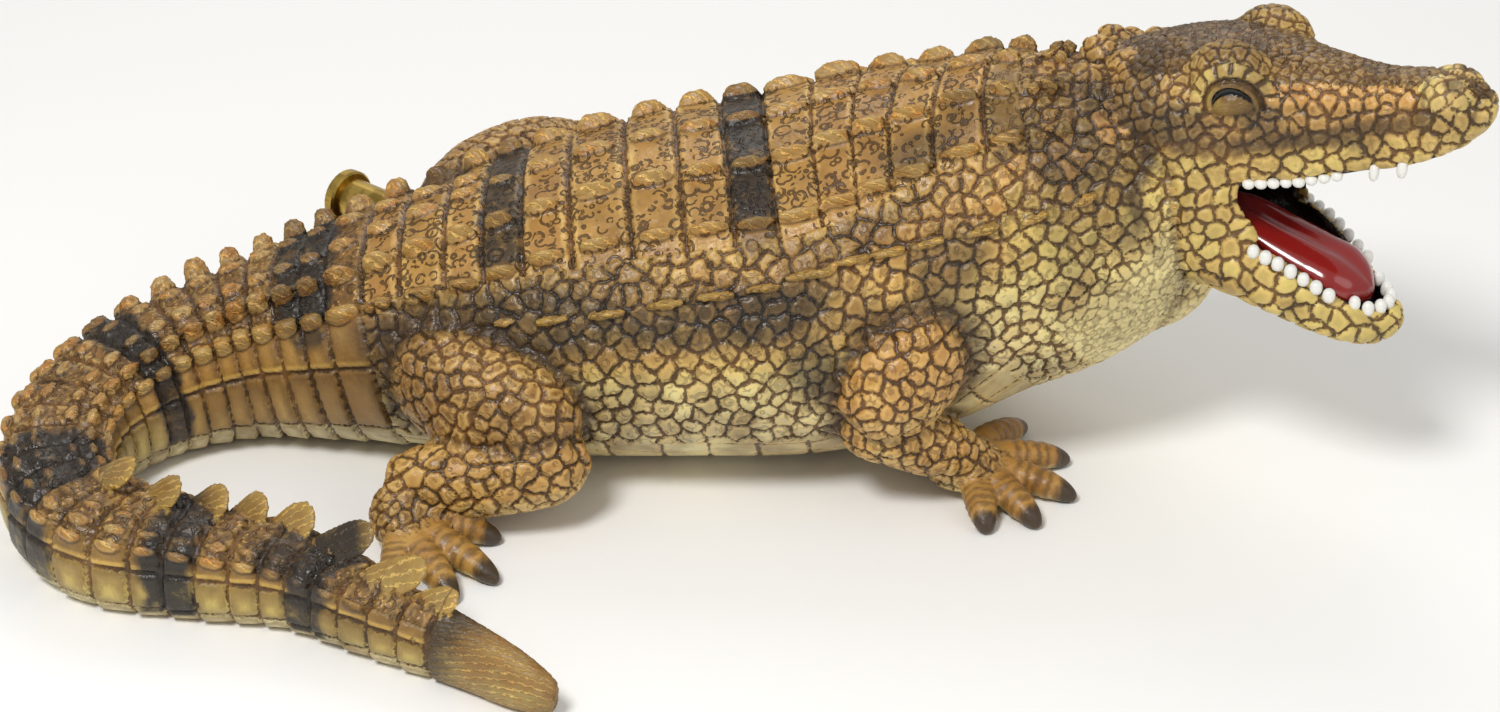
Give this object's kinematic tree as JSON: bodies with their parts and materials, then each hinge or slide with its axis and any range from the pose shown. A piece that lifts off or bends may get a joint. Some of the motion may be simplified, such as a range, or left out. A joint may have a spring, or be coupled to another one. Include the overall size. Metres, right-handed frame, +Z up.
{
  "type": "crocodile pond fountain statue",
  "caption": "Crawling crocodile garden figure with its jaws open and tail curled, a pond spitter fed through a brass hose inlet by the tail base.",
  "frame": {"origin": "middle of the footprint, on the ground", "axes": "+X along the body towards the head end, +Z up, tail curled round on the -Y side"},
  "size_m": [0.5628, 0.3498, 0.1892],
  "materials": {
    "painted_resin": "hand-painted satin resin",
    "brass": "dull polished brass"
  },
  "bodies": {
    "root": {"crocodile": "painted_resin", "hose_inlet": "brass"}
  },
  "joints": []
}
